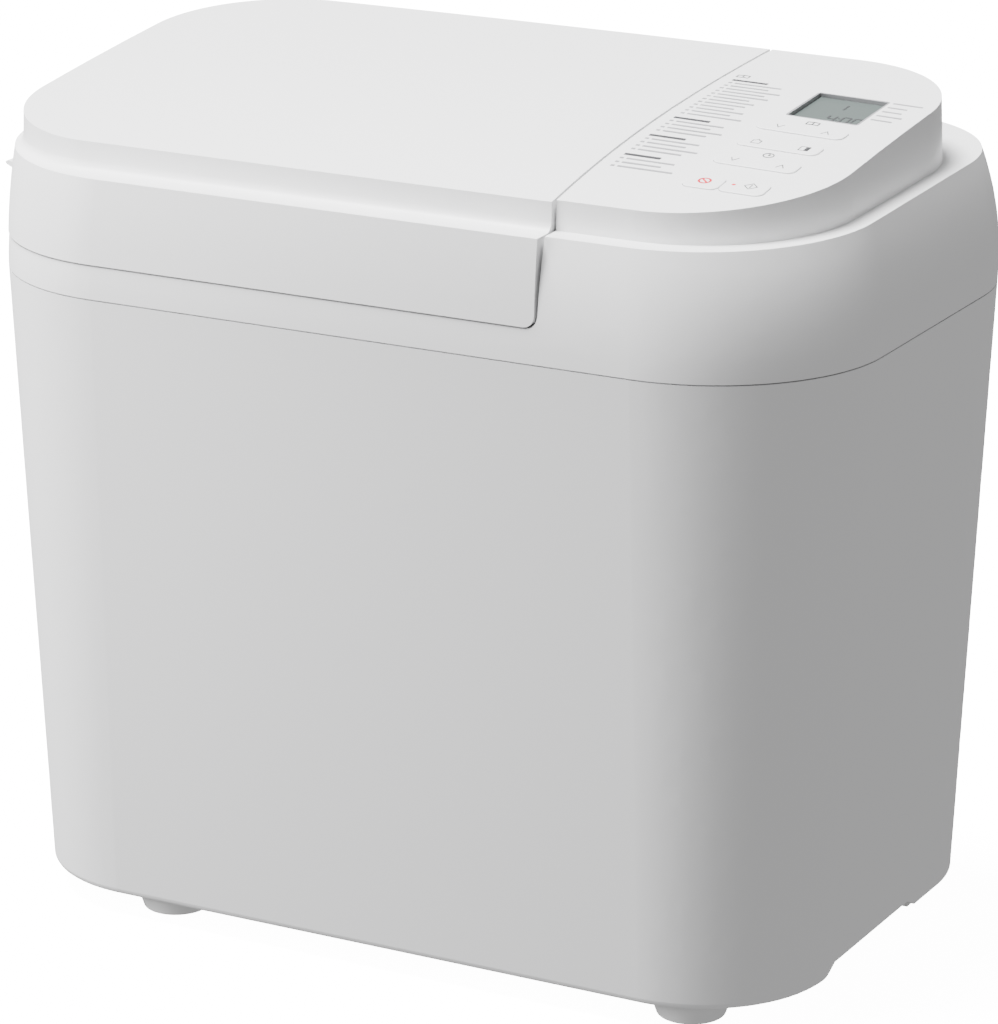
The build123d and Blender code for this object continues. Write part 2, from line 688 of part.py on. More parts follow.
with BuildPart() as heat_shield:
    with BuildSketch(across(shield_x, -5, (chassis_z + 2.1 + 283) / 2)):
        Rectangle(162, 283 - chassis_z - 2.1)
        with Locations((0, -44)):
            SlotOverall(44, 16, mode=Mode.SUBTRACT)
    extrude(amount=1)
    with BuildSketch(plan(chassis_z + 2.1)):
        with Locations((shield_x - 4, -5)):
            Rectangle(8.2, 120)
    extrude(amount=1)
    # studs that hold the power board
    with BuildSketch(across(shield_x + 1, 0, power_z)):
        with GridLocations(88, 76, 2, 2):
            Circle(3)
    extrude(amount=power_x - shield_x - 1.05)
heat_shield.part.label = "heat_shield"
export_step(heat_shield.part, "parts/heat_shield.step")

with BuildPart() as chamber_brackets:
    bracket_height = chamber_floor - chassis_z - 2.2
    with BuildSketch(pan_plan(chassis_z + 2.1)):
        with GridLocations(130, 90, 2, 2):
            Rectangle(26, 18)
            with Locations((0, 2)):
                Rectangle(22, 18, mode=Mode.SUBTRACT)
    extrude(amount=bracket_height)
    with BuildSketch(pan_plan(chassis_z + 2.1 + bracket_height - 2)):
        with GridLocations(130, 90, 2, 2):
            Rectangle(26, 18)
    extrude(amount=2)
chamber_brackets.part.label = "chamber_brackets"
export_step(chamber_brackets.part, "parts/chamber_brackets.step")

with BuildPart() as pan_seat:
    with BuildSketch(pan_plan(chamber_floor + 1.05)):
        Circle(54)
        Circle(45.2, mode=Mode.SUBTRACT)
    extrude(amount=1.5)
    with BuildSketch(pan_plan(chamber_floor + 2.5)):
        Circle(48.5)
        Circle(45.2, mode=Mode.SUBTRACT)
    extrude(amount=9)
    with BuildSketch(pan_plan(chamber_floor + 2.55)):
        with PolarLocations(47, 3):
            Rectangle(8, 22)
    extrude(amount=10, mode=Mode.SUBTRACT)
pan_seat.part.label = "pan_seat"
export_step(pan_seat.part, "parts/pan_seat.step")

# spring leaves stand in the seat's three gaps and grip the pan's base
with BuildPart() as pan_clips:
    with BuildSketch(pan_plan(chamber_floor + 2.6)):
        with PolarLocations(45.4, 3):
            Rectangle(0.8, 16)
    extrude(amount=13)
    with BuildSketch(pan_plan(chamber_floor + 2.6)):
        with PolarLocations(48.2, 3):
            Rectangle(6, 16)
    extrude(amount=0.8)
pan_clips.part.label = "pan_clips"
export_step(pan_clips.part, "parts/pan_clips.step")

# --- Chassis and drive ----------------------------------------------------------------------------
housing_bolts, motor_bolt = 24.0, 29.0

with BuildPart() as chassis_plate:
    with BuildSketch(plan(chassis_z)):
        with Locations((10, -6)):
            RectangleRounded(330, 140, 12)
        with Locations((pan_x, pan_y)):
            Circle(12.8, mode=Mode.SUBTRACT)
            with PolarLocations(housing_bolts, 3):
                Circle(1.7, mode=Mode.SUBTRACT)
        with Locations((motor_x, motor_y)):
            Circle(16, mode=Mode.SUBTRACT)
            with GridLocations(2 * motor_bolt, 2 * motor_bolt, 2, 2):
                Circle(2.3, mode=Mode.SUBTRACT)
        with Locations(post_spots):
            Circle(1.7, mode=Mode.SUBTRACT)
        with Locations((pan_x - 58, pan_y), (pan_x + 58, pan_y), (34, pan_y)):
            SlotOverall(56, 20, rotation=90, mode=Mode.SUBTRACT)
    extrude(amount=2)
    with BuildSketch(plan(chassis_z - 8)):
        for y in (-75, 63):
            with Locations((10, y)):
                Rectangle(300, 2)
    extrude(amount=8)
chassis_plate.part.label = "chassis_plate"
export_step(chassis_plate.part, "parts/chassis_plate.step")

with BuildPart() as bearing_housing:
    with BuildSketch(pan_plan(chassis_z - 8)):
        Circle(12.5)
    extrude(amount=30)
    with BuildSketch(pan_plan(chassis_z + 2.05)):
        Circle(30)
        with PolarLocations(housing_bolts, 3):
            Circle(1.7, mode=Mode.SUBTRACT)
    extrude(amount=4)
    with BuildSketch(pan_plan(chassis_z - 8)):
        Circle(8.1)
    extrude(amount=30, mode=Mode.SUBTRACT)
bearing_housing.part.label = "bearing_housing"
export_step(bearing_housing.part, "parts/bearing_housing.step")

with BuildPart() as drive_bushes:
    for bottom in (chassis_z - 8, chassis_z + 14):
        with BuildSketch(pan_plan(bottom)):
            Circle(8.05)
            Circle(drive_shaft_r + running_fit, mode=Mode.SUBTRACT)
        extrude(amount=8)
drive_bushes.part.label = "drive_bushes"
export_step(drive_bushes.part, "parts/drive_bushes.step")

coupling_z = 80.5
with BuildPart() as drive_shaft:
    with BuildSketch(pan_plan(belt_z - 8)):
        Circle(drive_shaft_r)
    extrude(amount=coupling_z + 3.5 - belt_z + 8)
    chamfer(drive_shaft.edges().filter_by(GeomType.CIRCLE), 0.5)
drive_shaft.part.label = "drive_shaft"
export_step(drive_shaft.part, "parts/drive_shaft.step")

with BuildPart() as drive_coupling:
    with BuildSketch(pan_plan(coupling_z)):
        Circle(18)
        Circle(drive_shaft_r, mode=Mode.SUBTRACT)
    extrude(amount=3.4)
    with BuildSketch(pan_plan(coupling_z + 3.4)):
        with PolarLocations(12, 2):
            RectangleRounded(9, 8, 2)
    extrude(amount=6)
drive_coupling.part.label = "drive_coupling"
export_step(drive_coupling.part, "parts/drive_coupling.step")

with BuildPart() as drive_pulley:
    with BuildSketch(pan_plan(belt_z - 5.5)):
        Circle(large_pulley_r)
        Circle(large_pulley_r - 5, mode=Mode.SUBTRACT)
    extrude(amount=11)
    with BuildSketch(pan_plan(belt_z - 1.5)):
        Circle(large_pulley_r - 3)
        with PolarLocations(30, 6):
            Circle(10, mode=Mode.SUBTRACT)
    extrude(amount=3)
    with BuildSketch(pan_plan(belt_z - 7)):
        Circle(11)
    extrude(amount=14)
    with BuildSketch(pan_plan(belt_z - 7)):
        Circle(drive_shaft_r)
    extrude(amount=14, mode=Mode.SUBTRACT)
drive_pulley.part.label = "drive_pulley"
export_step(drive_pulley.part, "parts/drive_pulley.step")

belt_gap, belt_thickness, belt_width = 0.2, 2.2, 10.0
with BuildPart() as drive_belt:
    for grow, mode in ((belt_gap + belt_thickness, Mode.ADD), (belt_gap, Mode.SUBTRACT)):
        with BuildSketch(plan(belt_z - belt_width / 2)):
            with Locations((pan_x, pan_y)):
                Circle(large_pulley_r + grow)
            with Locations((motor_x, motor_y)):
                Circle(small_pulley_r + grow)
            make_hull()
        extrude(amount=belt_width, mode=mode)
drive_belt.part.label = "drive_belt"
export_step(drive_belt.part, "parts/drive_belt.step")

# --- Motor ----------------------------------------------------------------------------------------
motor_r = 37.0
stator_z, stator_length, shield_depth = 66.0, 30.0, 8.0
motor_shaft_r, rotor_r = 4.0, 21.0


def motor_plan(height):
    """Horizontal plane on the motor's axis."""
    return Plane((body_x + motor_x, motor_y, height))


with BuildPart() as motor_stator:
    with BuildSketch(motor_plan(stator_z)):
        RectangleRounded(2 * motor_r, 2 * motor_r, 6)
        Circle(rotor_r + 0.6, mode=Mode.SUBTRACT)
        with GridLocations(2 * motor_bolt, 2 * motor_bolt, 2, 2):
            Circle(2.3, mode=Mode.SUBTRACT)
    extrude(amount=stator_length)
    # windings stand at both ends of the stack as separate rings
    for bottom in (stator_z - 4.6, stator_z + stator_length + 0.1):
        with BuildSketch(motor_plan(bottom)):
            Circle(30)
            Circle(rotor_r + 1, mode=Mode.SUBTRACT)
        extrude(amount=4.5)
motor_stator.part.label = "motor_stator"
export_step(motor_stator.part, "parts/motor_stator.step")

with BuildPart() as motor_end_shields:
    for side, joint_z in ((-1, stator_z), (1, stator_z + stator_length)):
        with BuildSketch(motor_plan(joint_z)):
            RectangleRounded(2 * motor_r, 2 * motor_r, 12)
        extrude(amount=side * shield_depth)
        with BuildSketch(motor_plan(joint_z)):
            Circle(13)
        extrude(amount=side * (shield_depth + 3.5))
        with BuildSketch(motor_plan(joint_z)):
            Circle(31)
        extrude(amount=side * (shield_depth - 2.5), mode=Mode.SUBTRACT)
        with BuildSketch(motor_plan(joint_z)):
            Circle(motor_shaft_r + running_fit)
            with GridLocations(2 * motor_bolt, 2 * motor_bolt, 2, 2):
                Circle(2.3)
        extrude(amount=side * 20, mode=Mode.SUBTRACT)
motor_end_shields.part.label = "motor_end_shields"
export_step(motor_end_shields.part, "parts/motor_end_shields.step")

with BuildPart() as motor_rotor:
    with BuildSketch(motor_plan(belt_z - 8)):
        Circle(motor_shaft_r)
    extrude(amount=96)
    with BuildSketch(motor_plan(stator_z + 2)):
        Circle(rotor_r)
    extrude(amount=stator_length - 4)
motor_rotor.part.label = "motor_rotor"
export_step(motor_rotor.part, "parts/motor_rotor.step")

with BuildPart() as motor_pulley:
    with BuildSketch(motor_plan(belt_z - 5.5)):
        Circle(small_pulley_r)
    extrude(amount=11)
    for bottom in (belt_z - 7, belt_z + 5.5):
        with BuildSketch(motor_plan(bottom)):
            Circle(small_pulley_r + 4)
        extrude(amount=1.5)
    with BuildSketch(motor_plan(belt_z - 7)):
        Circle(motor_shaft_r)
    extrude(amount=14, mode=Mode.SUBTRACT)
motor_pulley.part.label = "motor_pulley"
export_step(motor_pulley.part, "parts/motor_pulley.step")

with BuildPart() as motor_fan:
    with BuildSketch(motor_plan(stator_z + stator_length + 14)):
        Circle(10)
    extrude(amount=8)
    for turn in range(7):
        blade_turn = 360 / 7 * turn
        blade_plane = motor_plan(stator_z + stator_length + 18).rotated((0, 0, blade_turn))
        with BuildSketch(Plane(blade_plane.origin, x_dir=blade_plane.y_dir, z_dir=blade_plane.x_dir)):
            Rectangle(14, 1.4, rotation=28)
        extrude(amount=32)
    with BuildSketch(motor_plan(stator_z + stator_length + 8)):
        Circle(motor_shaft_r)
    extrude(amount=30, mode=Mode.SUBTRACT)
motor_fan.part.label = "motor_fan"
export_step(motor_fan.part, "parts/motor_fan.step")

with BuildPart() as motor_mounts:
    with BuildSketch(motor_plan(chassis_z + 2.05)):
        with GridLocations(2 * motor_bolt, 2 * motor_bolt, 2, 2):
            Circle(6)
            Circle(2.3, mode=Mode.SUBTRACT)
    extrude(amount=stator_z - shield_depth - chassis_z - 2.1)
motor_mounts.part.label = "motor_mounts"
export_step(motor_mounts.part, "parts/motor_mounts.step")

with BuildPart() as motor_bolts:
    bolt_top = stator_z + stator_length + shield_depth + 0.05
    with BuildSketch(motor_plan(chassis_z - 5)):
        with GridLocations(2 * motor_bolt, 2 * motor_bolt, 2, 2):
            Circle(2)
    extrude(amount=bolt_top - chassis_z + 5)
    for bottom in (chassis_z - 3.55, bolt_top):
        with BuildSketch(motor_plan(bottom)):
            with GridLocations(2 * motor_bolt, 2 * motor_bolt, 2, 2):
                RegularPolygon(4, 6)
        extrude(amount=3.5 if bottom < chassis_z else 2.5)
motor_bolts.part.label = "motor_screws"
export_step(motor_bolts.part, "parts/motor_screws.step")

with BuildPart() as run_capacitor:
    with BuildSketch(Plane((body_x + motor_x - 18, 52, chassis_z + 2.05))):
        RectangleRounded(42, 18, 3)
    extrude(amount=32)
    fillet(run_capacitor.edges().group_by(Axis.Z)[-1], 1.5)
run_capacitor.part.label = "run_capacitor"
export_step(run_capacitor.part, "parts/run_capacitor.step")

# --- Power board ----------------------------------------------------------------------------------
with BuildPart() as power_board:
    with BuildSketch(across(power_x, 0, power_z)):
        RectangleRounded(100, 88, 3)
    extrude(amount=1.6)
power_board.part.label = "power_board"
export_step(power_board.part, "parts/power_board.step")

with BuildPart() as power_components:
    # transformer, two relays and a bobbin, then the smoothing capacitors
    for y, z, width, height, depth in ((-22, 18, 34, 28, 26), (14, 24, 19, 15, 16), (14, 4, 19, 15, 16)):
        with BuildSketch(across(power_x + 1.65, y, power_z + z)):
            RectangleRounded(width, height, 1.5)
        extrude(amount=depth)
    for y, z, radius, height in ((-30, -24, 8, 24), (-10, -26, 6.3, 18), (36, -12, 5, 14)):
        with BuildSketch(across(power_x + 1.65, y, power_z + z)):
            Circle(radius)
        extrude(amount=height)
power_components.part.label = "power_components"
export_step(power_components.part, "parts/power_components.step")

with BuildPart() as cord_gland:
    with BuildSketch(facing_front(gland_x, 120, gland_z)):
        Circle(11)
    extrude(amount=2.2)
    with BuildSketch(facing_front(gland_x, 117.9, gland_z)):
        Circle(gland_hole_r - 0.1)
    extrude(amount=6)
    with BuildSketch(facing_front(gland_x, 114, gland_z)):
        RegularPolygon(11, 6)
    extrude(amount=5)
    with BuildSketch(facing_front(gland_x, 120, gland_z)):
        Circle(3.6)
    extrude(amount=14, mode=Mode.SUBTRACT)
cord_gland.part.label = "cord_gland"
export_step(cord_gland.part, "parts/cord_gland.step")

# --- Screws of the casing and chassis -------------------------------------------------------------
with BuildPart() as chassis_bolts:
    # from below, through the base plate into its posts
    with BuildSketch(plan(plate_z - 2.2)):
        with Locations(post_spots):
            Circle(3.4)
    extrude(amount=2.15)
    with BuildSketch(plan(plate_z - 0.1)):
        with Locations(post_spots):
            Circle(1.5)
    extrude(amount=26)
    # from above, through the chassis into the posts, and through the bearing housing's flange
    with BuildSketch(plan(chassis_z + 2.05)):
        with Locations(post_spots):
            Circle(3.4)
    extrude(amount=2.2)
    with BuildSketch(plan(chassis_z + 2.1)):
        with Locations(post_spots):
            Circle(1.5)
    extrude(amount=-12)
    with BuildSketch(pan_plan(chassis_z + 6.1)):
        with PolarLocations(housing_bolts, 3):
            Circle(3.4)
    extrude(amount=2.2)
    with BuildSketch(pan_plan(chassis_z + 6.2)):
        with PolarLocations(housing_bolts, 3):
            Circle(1.5)
    extrude(amount=-10)
chassis_bolts.part.label = "chassis_screws"
export_step(chassis_bolts.part, "parts/chassis_screws.step")

# --- Bread pan ------------------------------------------------------------------------------------
def pan_outline(height, inset=0.0):
    """Section of the pan, which narrows to the bottom."""
    narrow = pan_taper * (pan_rim - height) / (pan_rim - pan_bottom) + inset
    with BuildSketch(pan_plan(height)) as shape:
        RectangleRounded(2 * (pan_half_x - narrow), 2 * (pan_half_y - narrow), pan_radius - narrow)
    return shape.sketch


with BuildPart() as pan_hollow:
    loft(sections=[pan_outline(pan_bottom + pan_wall, pan_wall), pan_outline(pan_rim, pan_wall)], ruled=True)
    fillet(pan_hollow.edges().group_by(Axis.Z)[0], 4.6)

with BuildPart() as bread_pan:
    loft(sections=[pan_outline(pan_bottom), pan_outline(pan_rim)], ruled=True)
    fillet(bread_pan.edges().group_by(Axis.Z)[0], 6)
    with BuildSketch(pan_plan(pan_rim - 1.6)):
        RectangleRounded(2 * pan_half_x + 6, 2 * pan_half_y + 6, pan_radius + 3)
    extrude(amount=1.6)
    add(pan_hollow.part, mode=Mode.SUBTRACT)
    with BuildSketch(pan_plan(pan_bottom)):
        Circle(9)
    extrude(amount=4, mode=Mode.SUBTRACT)
bread_pan.part.label = "bread_pan"
export_step(bread_pan.part, "parts/bread_pan.step")

with BuildPart() as pan_base:
    with BuildSketch(pan_plan(pan_bottom - 3)):
        Circle(44.5)
        Circle(9, mode=Mode.SUBTRACT)
    extrude(amount=2.95)
    with BuildSketch(pan_plan(pan_bottom - 15.5)):
        Circle(44.5)
        Circle(41.5, mode=Mode.SUBTRACT)
    extrude(amount=12.6)
pan_base.part.label = "pan_base"
export_step(pan_base.part, "parts/pan_base.step")

with BuildPart() as shaft_bush:
    with BuildSketch(pan_plan(pan_bottom - 3)):
        Circle(8.95)
        Circle(blade_shaft_r + running_fit, mode=Mode.SUBTRACT)
    extrude(amount=6.5)
shaft_bush.part.label = "shaft_bush"
export_step(shaft_bush.part, "parts/shaft_bush.step")

with BuildPart() as shaft_seal:
    with BuildSketch(pan_plan(pan_bottom + 3.55)):
        Circle(7.5)
        Circle(blade_shaft_r + running_fit, mode=Mode.SUBTRACT)
    extrude(amount=2)
shaft_seal.part.label = "shaft_seal"
export_step(shaft_seal.part, "parts/shaft_seal.step")

arm_half_x, arm_thickness, pivot_r = 94.0, 4.2, 2.5
with BuildPart() as handle_pivots:
    for side in (-1, 1):
        wall_out = side * (pan_half_x - 0.15)
        for radius, start, end in ((6, 0, 3.75), (pivot_r, 0, 8.8), (4.5, 8.6, 10.2)):
            with BuildSketch(across(pan_x + wall_out + side * start, pan_y, handle_z)):
                Circle(radius)
            extrude(amount=side * (end - start))
handle_pivots.part.label = "handle_pivots"
export_step(handle_pivots.part, "parts/handle_pivots.step")

wire_r, grip_r, grip_length, handle_bend = 1.7, 4.0, 84.0, 14.0
with BuildPart() as pan_handle:
    with BuildLine(pan_plan(handle_z)) as bail:
        FilletPolyline(
            (-arm_half_x, -3),
            (-arm_half_x, -handle_reach),
            (arm_half_x, -handle_reach),
            (arm_half_x, -3),
            radius=[handle_bend, handle_bend],
        )
    with BuildSketch(Plane(origin=bail.line @ 0, z_dir=bail.line % 0)):
        Circle(wire_r)
    sweep()
    for side in (-1, 1):
        with BuildSketch(across(pan_x + side * arm_half_x - arm_thickness / 2, pan_y, handle_z)):
            Circle(6)
        extrude(amount=arm_thickness)
        with BuildSketch(across(pan_x + side * arm_half_x - arm_thickness / 2, pan_y, handle_z)):
            Circle(pivot_r + running_fit)
        extrude(amount=arm_thickness, mode=Mode.SUBTRACT)
pan_handle.part.label = "pan_handle"
export_step(pan_handle.part, "parts/pan_handle.step")

with BuildPart() as handle_grip:
    with BuildSketch(across(pan_x - grip_length / 2, pan_y - handle_reach, handle_z)):
        Circle(grip_r)
        Circle(wire_r + 0.02, mode=Mode.SUBTRACT)
    extrude(amount=grip_length)
    fillet(handle_grip.edges().filter_by(GeomType.CIRCLE).filter_by(lambda e: e.radius > 3), 1)
handle_grip.part.label = "handle_grip"
export_step(handle_grip.part, "parts/handle_grip.step")

# --- Kneading shaft and blade ---------------------------------------------------------------------
shaft_top, flat_depth = 124.0, 1.0
driven_z = coupling_z + 10.1

with BuildPart() as pan_shaft:
    with BuildSketch(pan_plan(driven_z)):
        Circle(blade_shaft_r)
    extrude(amount=shaft_top - driven_z)
    # flat that the blade's bore keys on
    with BuildSketch(pan_plan(pan_bottom + 6.5)):
        with Locations((0, blade_shaft_r)):
            Rectangle(4 * blade_shaft_r, 2 * flat_depth)
    extrude(amount=40, mode=Mode.SUBTRACT)
pan_shaft.part.label = "pan_shaft"
export_step(pan_shaft.part, "parts/pan_shaft.step")

with BuildPart() as driven_coupling:
    with BuildSketch(pan_plan(driven_z)):
        Circle(18)
        Circle(blade_shaft_r, mode=Mode.SUBTRACT)
    extrude(amount=2.9)
    with BuildSketch(pan_plan(driven_z)):
        with PolarLocations(12, 2, start_angle=90):
            RectangleRounded(9, 8, 2)
    extrude(amount=-6)
driven_coupling.part.label = "driven_coupling"
export_step(driven_coupling.part, "parts/driven_coupling.step")

hub_bottom, hub_top, hub_r = pan_bottom + 6.6, 130.0, 10.5
blade_reach, blade_thickness = 54.0, 5.0
with BuildPart() as kneading_blade:
    with BuildSketch(pan_plan(hub_bottom)):
        Circle(hub_r)
    extrude(amount=hub_top - hub_bottom, taper=4)
    # the paddle sweeps down from the hub to its rounded tip
    with BuildSketch(facing_front(pan_x, pan_y + blade_thickness / 2, 0)):
        with BuildLine():
            Polyline((0, hub_bottom + 1), (blade_reach, hub_bottom + 1), (blade_reach, hub_bottom + 7))
            Spline(
                (blade_reach, hub_bottom + 7),
                (blade_reach - 12, hub_bottom + 15),
                (hub_r + 8, hub_top - 5),
                (0, hub_top - 3),
            )
            Line((0, hub_top - 3), (0, hub_bottom + 1))
        make_face()
    extrude(amount=blade_thickness)
    with BuildSketch(pan_plan(hub_bottom)):
        Circle(blade_shaft_r + running_fit)
        with Locations((0, blade_shaft_r + running_fit)):
            Rectangle(4 * blade_shaft_r, 2 * flat_depth, mode=Mode.SUBTRACT)
    extrude(amount=shaft_top + 0.6 - hub_bottom, mode=Mode.SUBTRACT)
kneading_blade.part.label = "kneading_blade"
export_step(kneading_blade.part, "parts/kneading_blade.step")
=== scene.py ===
"""Looks of the bread machine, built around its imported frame. Lengths are metres unless a name ends in _mm."""

import json
import logging
import math
from collections.abc import Sequence
from dataclasses import dataclass, field
from enum import Enum

import bpy
import numpy as np
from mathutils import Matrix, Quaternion, Vector


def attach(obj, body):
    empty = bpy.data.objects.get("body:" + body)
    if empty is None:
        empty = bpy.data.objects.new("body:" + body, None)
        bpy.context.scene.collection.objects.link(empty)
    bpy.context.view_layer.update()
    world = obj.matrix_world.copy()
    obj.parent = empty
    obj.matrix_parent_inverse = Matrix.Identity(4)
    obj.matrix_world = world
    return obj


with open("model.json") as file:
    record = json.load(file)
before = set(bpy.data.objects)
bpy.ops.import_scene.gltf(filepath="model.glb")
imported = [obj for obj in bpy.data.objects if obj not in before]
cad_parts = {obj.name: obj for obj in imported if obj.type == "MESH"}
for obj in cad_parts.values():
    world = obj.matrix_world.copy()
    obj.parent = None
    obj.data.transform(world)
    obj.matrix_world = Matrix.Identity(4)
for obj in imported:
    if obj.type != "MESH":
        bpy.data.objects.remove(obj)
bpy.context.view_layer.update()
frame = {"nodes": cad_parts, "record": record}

MM = 0.001
COAT_ROUGHNESS = 0.12
SMOOTHEST = 0.02
RELIEF_STRENGTH = 0.5
FINE_DETAIL, BROAD_DETAIL = 3.0, 2.0
MOTTLES_PER_METRE, FLECKS_PER_METRE = 9.0, 420.0
FLECK_EDGE = (0.62, 0.70)  # noise levels between which a fleck fades in
Outline = np.ndarray  # rows of (x, y) in millimetres on the panel
log = logging.getLogger("bread_machine")


class Grain(Enum):
    """Surface structure that a finish can carry."""

    SATIN = "even moulded grain"
    BRUSHED = "fine lines along X"
    CAST = "coarse cast skin"
    SPECKLED = "coating with lighter flecks"
    LAMINATED = "stacked sheets, seen as rings along Z"
    POLISHED = "nearly smooth"


@dataclass(frozen=True)
class Finish:
    """One surface finish, as colour, gloss and a grain of a real size."""

    colour: tuple[float, float, float]
    roughness: float
    metallic: float = 0.0
    grain: Grain = Grain.SATIN
    grain_mm: float = 0.5
    relief_mm: float = 0.004
    mottle: float = 0.02
    gloss_spread: float = 0.05
    coat: float = 0.0

    def stretch(self) -> tuple[float, float, float]:
        """Gives how many grains fit in a metre along each axis; lines and stacks are long in two of them."""
        fine = 1000 / self.grain_mm
        if self.grain is Grain.BRUSHED:
            return (fine / 60, fine, fine)
        if self.grain is Grain.LAMINATED:
            return (fine / 80, fine / 80, fine)
        return (fine, fine, fine)

    def material(self, name: str) -> bpy.types.Material:
        """Builds the node material: broad mottling on colour, fine grain on gloss and height.

        Args:
            name: The record's slot name, which becomes the material's name.

        Returns:
            The new material.
        """
        made = bpy.data.materials.new(name)
        made.use_nodes = True
        nodes, links = made.node_tree.nodes, made.node_tree.links
        shader = nodes["Principled BSDF"]
        shader.inputs["Metallic"].default_value = self.metallic
        shader.inputs["Coat Weight"].default_value = self.coat
        shader.inputs["Coat Roughness"].default_value = COAT_ROUGHNESS
        place = nodes.new("ShaderNodeTexCoord")
        scale = nodes.new("ShaderNodeMapping")
        scale.inputs["Scale"].default_value = self.stretch()
        links.new(place.outputs["Object"], scale.inputs["Vector"])
        fine = nodes.new("ShaderNodeTexNoise")
        fine.inputs["Scale"].default_value = 1.0
        fine.inputs["Detail"].default_value = FINE_DETAIL
        links.new(scale.outputs["Vector"], fine.inputs["Vector"])
        broad = nodes.new("ShaderNodeTexNoise")
        speckled = self.grain is Grain.SPECKLED
        broad.inputs["Scale"].default_value = FLECKS_PER_METRE if speckled else MOTTLES_PER_METRE
        broad.inputs["Detail"].default_value = BROAD_DETAIL
        links.new(place.outputs["Object"], broad.inputs["Vector"])
        tint = nodes.new("ShaderNodeMix")
        tint.data_type = "RGBA"
        darker, lighter = (1 - self.mottle), (1 + self.mottle)
        tint.inputs["A"].default_value = (*(part * darker for part in self.colour), 1)
        tint.inputs["B"].default_value = (*(min(part * lighter, 1) for part in self.colour), 1)
        if speckled:
            flecks = nodes.new("ShaderNodeMapRange")
            flecks.inputs["From Min"].default_value = FLECK_EDGE[0]
            flecks.inputs["From Max"].default_value = FLECK_EDGE[1]
            links.new(broad.outputs["Fac"], flecks.inputs["Value"])
            links.new(flecks.outputs["Result"], tint.inputs["Factor"])
        else:
            links.new(broad.outputs["Fac"], tint.inputs["Factor"])
        links.new(tint.outputs["Result"], shader.inputs["Base Color"])
        gloss = nodes.new("ShaderNodeMapRange")
        gloss.inputs["To Min"].default_value = max(self.roughness - self.gloss_spread, SMOOTHEST)
        gloss.inputs["To Max"].default_value = min(self.roughness + self.gloss_spread, 1.0)
        links.new(fine.outputs["Fac"], gloss.inputs["Value"])
        links.new(gloss.outputs["Result"], shader.inputs["Roughness"])
        height = nodes.new("ShaderNodeBump")
        height.inputs["Strength"].default_value = RELIEF_STRENGTH
        height.inputs["Distance"].default_value = self.relief_mm * MM
        links.new(fine.outputs["Fac"], height.inputs["Height"])
        links.new(height.outputs["Normal"], shader.inputs["Normal"])
        return made


